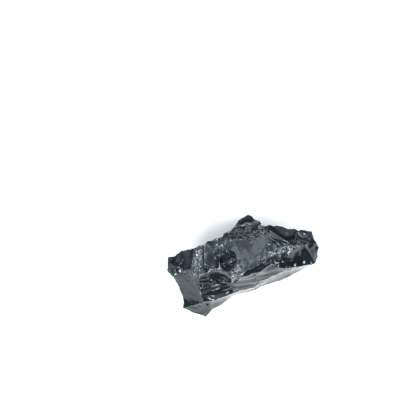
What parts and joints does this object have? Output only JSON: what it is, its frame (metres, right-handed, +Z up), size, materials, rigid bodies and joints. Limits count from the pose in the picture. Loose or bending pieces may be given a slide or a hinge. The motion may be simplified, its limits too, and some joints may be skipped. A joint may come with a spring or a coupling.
{
  "type": "obsidian chunk",
  "caption": "Rough chunk of black volcanic glass with hollow, ringed fracture faces, thin sharp edges, small steps and a pit, lying on a flat fracture face.",
  "frame": {"origin": "under the middle of the chunk's outer box, on the surface it lies on", "axes": "+X along its length to the blunt end, +Y to the pointed back, +Z up"},
  "size_m": [0.076, 0.0518, 0.0327],
  "materials": {
    "obsidian": "glossy black volcanic glass, freshly broken"
  },
  "bodies": {
    "root": {"obsidian_chunk": "obsidian"}
  },
  "joints": []
}
